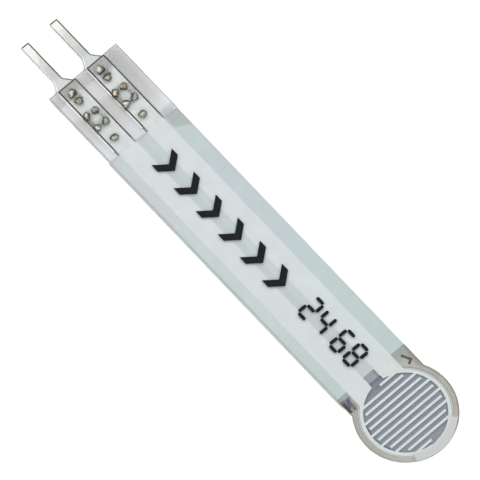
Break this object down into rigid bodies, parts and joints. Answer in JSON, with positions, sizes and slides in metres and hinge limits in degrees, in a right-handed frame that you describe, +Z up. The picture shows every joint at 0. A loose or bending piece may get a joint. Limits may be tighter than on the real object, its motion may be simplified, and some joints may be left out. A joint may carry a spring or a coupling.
{
  "type": "force sensing resistor",
  "caption": "Thin film force sensor with a round sensing head, meshed comb electrodes, a flat printed tail and crimped solder tabs.",
  "frame": {"origin": "centre of the round head on the rear adhesive face, which is stuck down in use", "axes": "+X along the sensor from the tail to the head, +Y to the left seen that way, +Z up out of the face that is pressed"},
  "size_m": [0.04, 0.0072, 0.0007],
  "materials": {
    "clear_film": "clear glossy polyester film",
    "base_film": "clear polyester film",
    "silver_ink": "matt printed silver ink under film",
    "contact_ink": "matt black carbon ink",
    "coat_ink": "pale green translucent ink",
    "spacer": "soft beige adhesive film",
    "resistive_ink": "matt dark grey carbon ink",
    "mounting_adhesive": "soft clear adhesive film",
    "tinned_tab": "bright tin plate with a few brown spots",
    "mark_ink": "dark brown ink",
    "print_ink": "black printing ink"
  },
  "bodies": {
    "root": {"electrode_film": "clear_film", "left_electrode": "silver_ink", "right_electrode": "silver_ink", "left_contact_pad": "contact_ink", "right_contact_pad": "contact_ink", "insulating_coat": "coat_ink", "spacer_adhesive": "spacer", "resistive_disc": "resistive_ink", "base_film": "base_film", "mounting_adhesive": "mounting_adhesive", "left_solder_tab": "tinned_tab", "right_solder_tab": "tinned_tab", "left_registration_mark": "mark_ink", "right_registration_mark": "mark_ink", "chevron_1": "print_ink", "chevron_2": "print_ink", "chevron_3": "print_ink", "chevron_4": "print_ink", "chevron_5": "print_ink", "chevron_6": "print_ink"}
  },
  "joints": []
}
